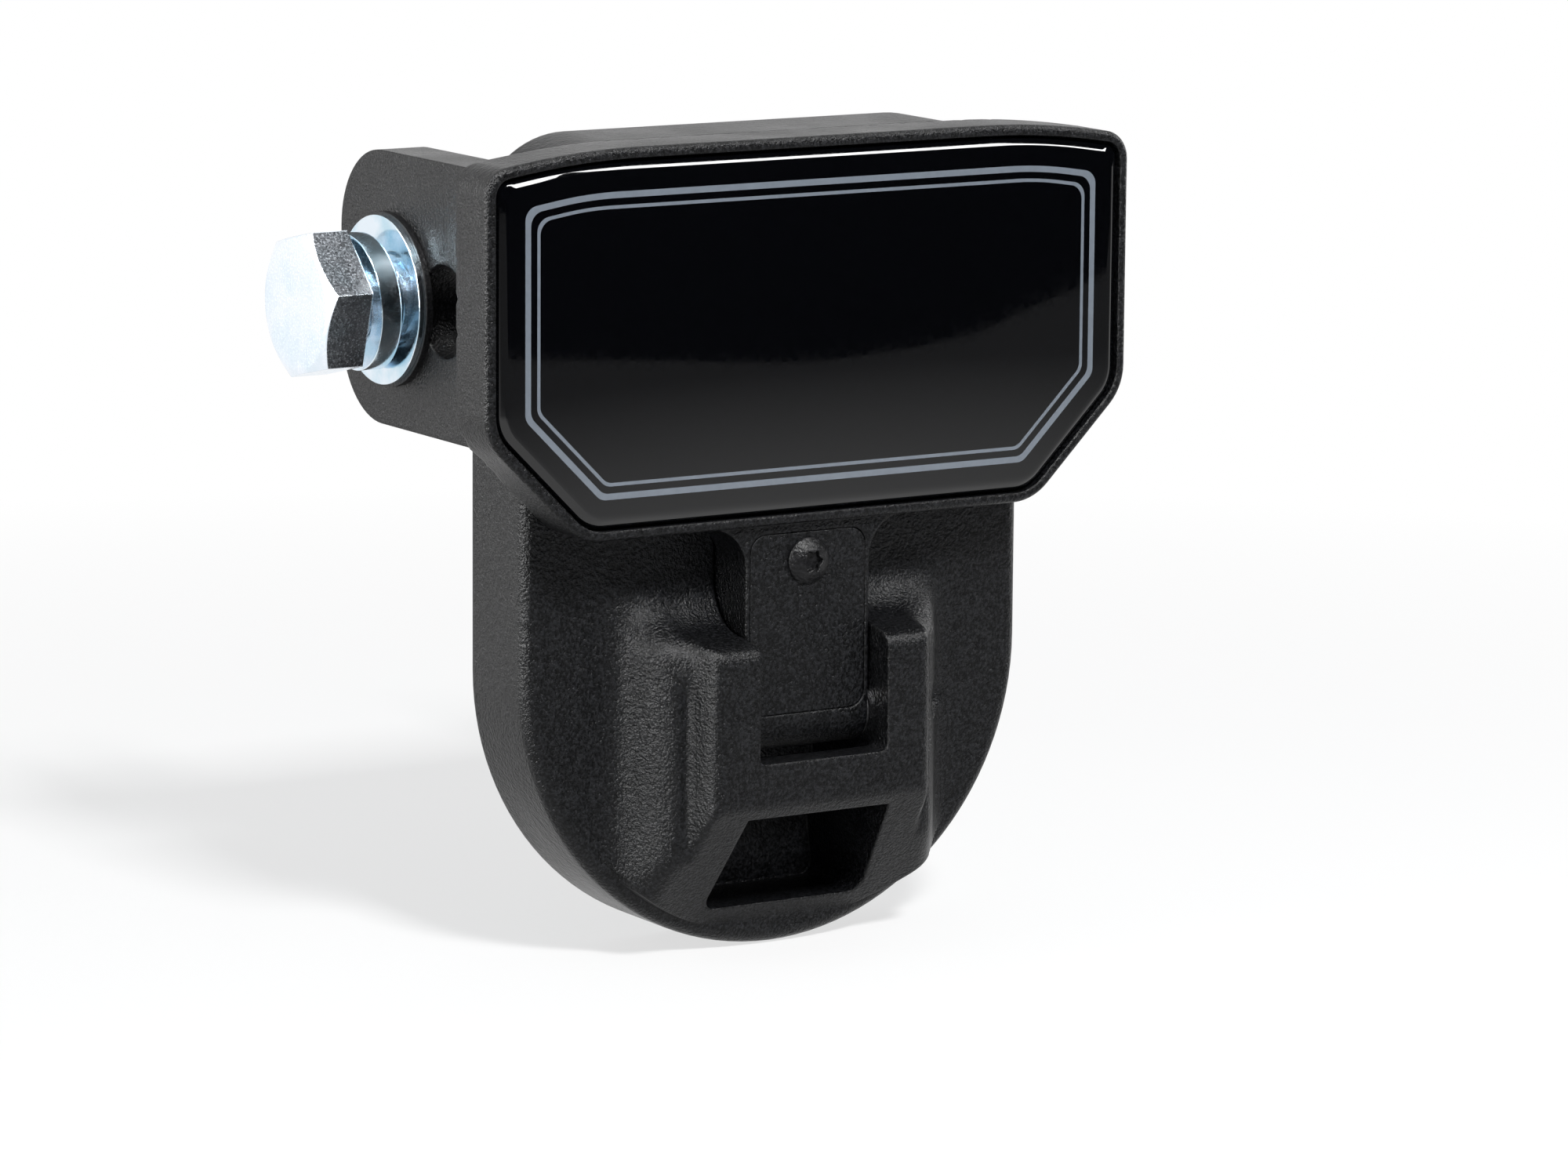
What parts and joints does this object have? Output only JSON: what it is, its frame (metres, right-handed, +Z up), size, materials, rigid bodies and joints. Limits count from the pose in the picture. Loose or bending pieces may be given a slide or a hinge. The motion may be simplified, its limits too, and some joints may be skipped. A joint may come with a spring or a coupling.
{
  "type": "folding hitch step",
  "caption": "Folding vehicle step: a cast plate clamps round a square hitch receiver with a cross bolt, and a treaded platform folds down from upright on a hinge.",
  "frame": {"origin": "the point of the plate's flat back that meets the middle of the receiver's mouth, level with the cross bolt", "axes": "+X to the right seen from behind the vehicle, +Y towards the vehicle along the receiver, +Z up"},
  "size_m": [0.1388, 0.0879, 0.144],
  "materials": {
    "bracket_coat": "cast, fine textured black powder coat",
    "step_coat": "cast, fine textured black powder coat",
    "cover_coat": "satin black",
    "badge_backing": "matt black",
    "badge_gloss": "clear-coated gloss black",
    "black_steel": "black oxide",
    "spring_steel": "plain spring steel",
    "zinc_steel": "bright zinc plated"
  },
  "bodies": {
    "bracket": {"mount_bracket": "bracket_coat", "hinge_screw": "black_steel", "friction_washer_left": "spring_steel", "friction_washer_right": "spring_steel", "backing_washer_left": "black_steel", "backing_washer_right": "black_steel", "flat_washer_left": "zinc_steel", "flat_washer_right": "zinc_steel", "spring_washer": "zinc_steel", "hex_bolt": "zinc_steel", "hex_nut": "zinc_steel"},
    "step": {"step_casting": "step_coat", "badge_plate": "badge_backing", "badge_dome": "badge_gloss", "neck_cover": "cover_coat", "neck_screw": "black_steel"}
  },
  "joints": [
    {"name": "step_fold", "type": "hinge", "parent": "bracket", "child": "step", "pos_m": [0, -0.0227, -0.0694], "axis": [1, 0, 0], "range_deg": [0, 90]}
  ]
}
